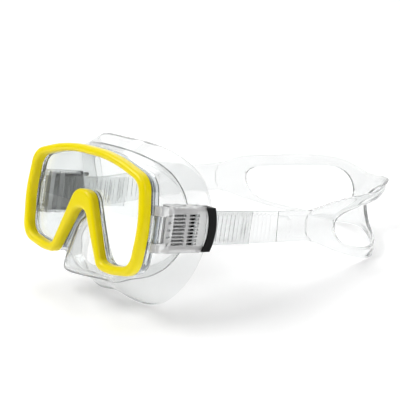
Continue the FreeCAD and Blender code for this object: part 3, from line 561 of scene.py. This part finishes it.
def along_band(mark, table):
    """A smooth value between the table's rows, one row for each of the headband's points."""
    mark = max(0.0, min(total, mark))
    for i in range(len(keys) - 1):
        if mark <= keys[i + 1]:
            before, after = table[max(i - 1, 0)], table[min(i + 2, len(table) - 1)]
            a, b = table[i], table[i + 1]
            t = (mark - keys[i]) / (keys[i + 1] - keys[i])
            return tuple(0.5 * (2 * q + (r - p) * t + (2 * p - 5 * q + 4 * r - s) * t * t
                                + (3 * q - p - 3 * r + s) * t ** 3)
                         for p, q, r, s in zip(before, a, b, after))
    return table[-1]


def opening_at(mark):
    """Upper and lower edge of the window at a distance, or None where the band is whole."""
    for low, high in windows:
        if low < mark < high:
            u = 2 * (mark - low) / (high - low) - 1
            width = max(1 - abs(u) ** 5, 0.0) ** 0.5
            above, below = along_band(mark, WINDOW_EDGES)
            return above * width, -below * width
    return None


def band_stations():
    """Stations along the band, with extra ones crowded round each window's ends."""
    marks = set(np.round(np.arange(band_marks[0], band_marks[-1], 1.6), 3))
    marks.add(round(float(band_marks[-1]), 3))
    for start, stop, step in ((band_marks[0], band_marks[0] + 24, 0.7), (-4, 9, 0.4)):
        for mark in np.arange(start, stop, step):
            marks.update((round(float(mark), 3), round(float(total - mark), 3)))
    marks = {m for m in marks if band_marks[0] <= m <= band_marks[-1]}
    for low, high in windows:
        for end, sign in ((low, 1), (high, -1)):
            marks.update(round(end + sign * step, 3) for step in (0.0, 0.03, 0.15, 0.4, 0.8, 1.2))
    return sorted(marks)


# where the points lie across a strip, crowded towards its edges
STRIP = [0.0, 0.012, 0.04, 0.09, 0.16, 0.28, 0.5, 0.72, 0.84, 0.91, 0.96, 0.988, 1.0]


def web_thickness(level):
    """The strap's own thickness profile, which the band starts from at the joint."""
    return BODY + RIM * smooth((abs(level) / HALF - 0.84) / 0.06)


def tongue(behind, level):
    """The shallow half-oval recess in the outer face just behind the joint, in mm."""
    return 0.3 * smooth((1 - math.hypot(behind / 21.0, level / 9.0)) / 0.08) * smooth((behind - 1.0) / 0.6)


def step_up(mark, level):
    """Extra thickness of the lobes over the web, starting on a C-shaped line."""
    bend = 10.0 * min(abs(level), 1.0) ** 3
    return STEP * smooth((mark + 2.5 - bend) / 0.7) * smooth((total - mark + 2.5 - bend) / 0.7)


def build_headband():
    """Both strips of every station as front and back points, joined into one closed skin."""
    stations = band_stations()
    tangents = np.gradient(band_places, axis=0)
    front, back, open_flags = [], [], []
    for mark in stations:
        place = np.array([np.interp(mark, band_marks, band_places[:, k]) for k in range(3)])
        tangent = np.array([np.interp(mark, band_marks, tangents[:, k]) for k in range(3)])
        up = up_at(place[1])
        normal = np.cross(tangent, up)
        normal /= np.linalg.norm(normal)
        top, bottom, lean = along_band(mark, LOBES)
        window = opening_at(mark)
        nearness = min(min(abs(mark - low), abs(mark - high)) for low, high in windows)
        if window:
            high, low = max(window[0], 0.15), min(window[1], -0.15)
            window_rim = 1.0
        else:
            spread = min(nearness / 14, 1.0)
            high, low = mix(0.15, top * 0.3, spread), mix(-0.15, -bottom * 0.3, spread)
            window_rim = math.exp(-(nearness / 1.6) ** 2)
        row_front, row_back = [], []
        for ends in ((-bottom, low), (high, top)):
            width = abs(ends[1] - ends[0])
            for share in STRIP:
                level = mix(ends[0], ends[1], share)
                outer_edge = (share if ends[0] == -bottom else 1 - share) * width
                inner_edge = (1 - share if ends[0] == -bottom else share) * width
                rim = math.exp(-(outer_edge / 2.2) ** 4) + window_rim * math.exp(-(inner_edge / 2.0) ** 4)
                thick = SHEET + step_up(mark, level / max(top, 1)) + BAND_RIM * rim
                thick = mix(web_thickness(level), thick, smooth((place[1] - JOINT) / 25))
                border = [outer_edge] + ([inner_edge] if window else [])
                thick *= min(1.0, 0.25 + 0.75 * math.sqrt(min(min(border) / 0.55, 1.0)))
                point = place + up * level + normal * (max(level, 0.0) * lean)
                row_front.append(world(*(point + normal * (thick - tongue(place[1] - JOINT, level)))))
                row_back.append(world(*(point - normal * thick)))
        front.append(row_front)
        back.append(row_back)
        open_flags.append(window is not None)
    rows, cols = len(front), len(front[0])
    half = cols // 2
    points = [p for row in front for p in row] + [p for row in back for p in row]
    shift = rows * cols
    faces = []

    def solid(i, j):
        if not (0 <= i < rows - 1 and 0 <= j < cols - 1):
            return False
        return j != half - 1 or not (open_flags[i] and open_flags[i + 1])

    for i in range(rows - 1):
        for j in range(cols - 1):
            if not solid(i, j):
                continue
            a, b = i * cols + j, i * cols + j + 1
            c, d = (i + 1) * cols + j + 1, (i + 1) * cols + j
            faces += [(a, b, c, d), (shift + d, shift + c, shift + b, shift + a)]
            if not solid(i, j - 1):
                faces.append((d, shift + d, shift + a, a))
            if not solid(i, j + 1):
                faces.append((b, shift + b, shift + c, c))
            if not solid(i - 1, j) and i > 0:
                faces.append((a, shift + a, shift + b, b))
            if not solid(i + 1, j) and i < rows - 2:
                faces.append((c, shift + c, shift + d, d))
    return make_mesh("headband_soft", points, faces)


headband = build_headband()
headband.data.materials.append(strap_silicone)
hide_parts("headband", "left_strap_web", "right_strap_web")
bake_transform(headband)
print("headband faces:", len(headband.data.polygons))

# %% [markdown]
# The hard parts stay exactly as the CAD made them. Only their materials change, and a small bevel
# modifier takes the knife edges off the buckles so that they catch the light.

# %% Materials and edges of the CAD parts
pin_steel, tree, output = new_material("stainless_steel")
bump = grain(tree, 0.25, 0.004, 0.3)
shader = add(tree, "ShaderNodeBsdfPrincipled", [("Normal", bump.outputs["Normal"])],
             Base_Color=linear("#B9BBBE"), Metallic=1.0, Roughness=0.28)
tree.links.new(shader.outputs[0], output.inputs["Surface"])

dress = {"front_bezel": yellow_abs, "lens": glass, "main_frame": polycarbonate, "lens_seal": skirt_silicone}
for side in ("left_", "right_"):
    dress.update({side + "buckle_body": frosted, side + "release_lever": black_nylon,
                  side + "swivel_pin": pin_steel, side + "strap_roller": pin_steel,
                  side + "roller_pin": pin_steel, side + "lever_pin": pin_steel})
for name, material in dress.items():
    node = frame["nodes"][name]
    node.data.materials.clear()
    node.data.materials.append(material)
    if "buckle_body" in name or "release_lever" in name:
        rounding = node.modifiers.new("edge_round", "BEVEL")
        rounding.width = 0.0003
        rounding.segments = 2
        rounding.limit_method = "ANGLE"
        rounding.angle_limit = math.radians(40)
print("dressed:", len(dress), "CAD parts")

# %% [markdown]
# The set is a pale floor that curves up behind the mask, lit by large soft lights. Clear parts need
# something to reflect and refract, so the lights are wide panels rather than points.

# %% Floor and light
def sweep(name, profile):
    """A wide sheet of paper over a profile of distances from the mask and heights, in metres."""
    turn = math.radians(46.3)
    rows = []
    for along, height in profile:
        row = []
        for across in (-4.0, 4.0):
            x = -along * math.sin(turn) + across * math.cos(turn)
            y = along * math.cos(turn) + across * math.sin(turn)
            row.append((x, y, height - 0.0002))
        rows.append(row)
    points = [p for row in rows for p in row]
    faces = [(2 * i, 2 * i + 1, 2 * i + 3, 2 * i + 2) for i in range(len(rows) - 1)]
    return make_mesh(name, points, faces)


bend = np.linspace(0, math.pi / 2, 13)
back_bend = [(1.2 + 0.8 * math.sin(a), 0.8 - 0.8 * math.cos(a)) for a in bend[1:]]
floor = sweep("studio_floor", [(-2.2, 0.0), (1.2, 0.0)] + back_bend + [(2.0, 3.0)])
front_bend = [(-2.2 - 0.8 * math.sin(a), 0.8 - 0.8 * math.cos(a)) for a in bend]
front = sweep("studio_front", front_bend + [(-3.0, 4.0)])
paper, tree, output = new_material("studio_paper")
bump = grain(tree, 3.0, 0.02, 0.15)
shader = add(tree, "ShaderNodeBsdfPrincipled", [("Normal", bump.outputs["Normal"])],
             Base_Color=linear("#F4F4F4"), Roughness=0.9,
             Emission_Color=linear("#FFFFFF"), Emission_Strength=0.24)
tree.links.new(shader.outputs[0], output.inputs["Surface"])
floor.data.materials.append(paper)
# the front sheet only closes the view behind the camera, so it lights and mirrors nothing
front_paper, tree, output = new_material("front_paper")
shader = add(tree, "ShaderNodeBsdfPrincipled", Base_Color=linear("#808080"), Roughness=0.9,
             Emission_Color=linear("#FFFFFF"), Emission_Strength=0.7)
tree.links.new(shader.outputs[0], output.inputs["Surface"])
front.data.materials.append(front_paper)
front.visible_diffuse = front.visible_glossy = front.visible_shadow = False


def soft_light(name, place, target, size, power):
    """A rectangular light panel aimed at a point."""
    lamp = bpy.data.lights.new(name, "AREA")
    lamp.shape, lamp.size, lamp.size_y, lamp.energy = "RECTANGLE", size[0], size[1], power
    thing = bpy.data.objects.new(name, lamp)
    thing.location = place
    thing.rotation_euler = (Vector(target) - Vector(place)).to_track_quat("-Z", "Y").to_euler()
    bpy.context.scene.collection.objects.link(thing)
    return thing


lights = [soft_light("key_panel", (-0.7, -1.1, 1.3), (0, 0, 0.05), (1.0, 0.7), 19),
          soft_light("side_panel", (1.5, -0.1, 0.9), (0, 0, 0.05), (0.7, 0.9), 9),
          soft_light("top_panel", (0.0, 0.3, 1.9), (0, 0.1, 0), (1.6, 1.6), 11),
          soft_light("backdrop_panel", (-0.9, 0.9, 1.6), (-1.3, 1.25, 0.4), (1.6, 0.8), 8)]
studio = bpy.data.worlds.new("studio_air")
studio.use_nodes = True
tree = studio.node_tree
place = add(tree, "ShaderNodeTexCoord")
split = add(tree, "ShaderNodeSeparateXYZ", [("Vector", place.outputs["Generated"])])
ramp = add(tree, "ShaderNodeMapRange", [("Value", split.outputs["Z"])],
           From_Min=-0.2, From_Max=0.9, To_Min=0.3, To_Max=0.95)
tree.links.new(ramp.outputs["Result"], tree.nodes["Background"].inputs["Strength"])
bpy.context.scene.world = studio
bpy.context.scene.view_settings.view_transform = "Standard"
bpy.context.scene.view_settings.look = "None"

# %% [markdown]
# The camera stands in front and to the wearer's left, a little above the mask, with a 90 mm lens. It
# is placed by its own three axes, so its tilt and its very slight roll are exact.

# %% Camera
# where the camera stands in the mask's millimetres, and its three axes in the mask's frame
STAND = (611.6, -492.3, 120.5)
RIGHT, UP, BEHIND = (0.69157, 0.70818, 0.14216), (-0.19404, -0.00743, 0.98096), (0.69576, -0.70599, 0.13228)


def direction(x, y, z):
    """A direction of the mask's frame as a world direction."""
    return (world(x, y, z) - world(0, 0, 0)).normalized()


lens = bpy.data.cameras.new("camera")
lens.lens, lens.sensor_width = 90.0, 36.0
camera = bpy.data.objects.new("camera", lens)
turned = Matrix([direction(*axis) for axis in (RIGHT, UP, BEHIND)]).transposed().to_4x4()
camera.matrix_world = Matrix.Translation(world(*STAND)) @ turned
bpy.context.scene.collection.objects.link(camera)
bpy.context.scene.camera = camera
print("camera at", [round(v, 3) for v in camera.location])
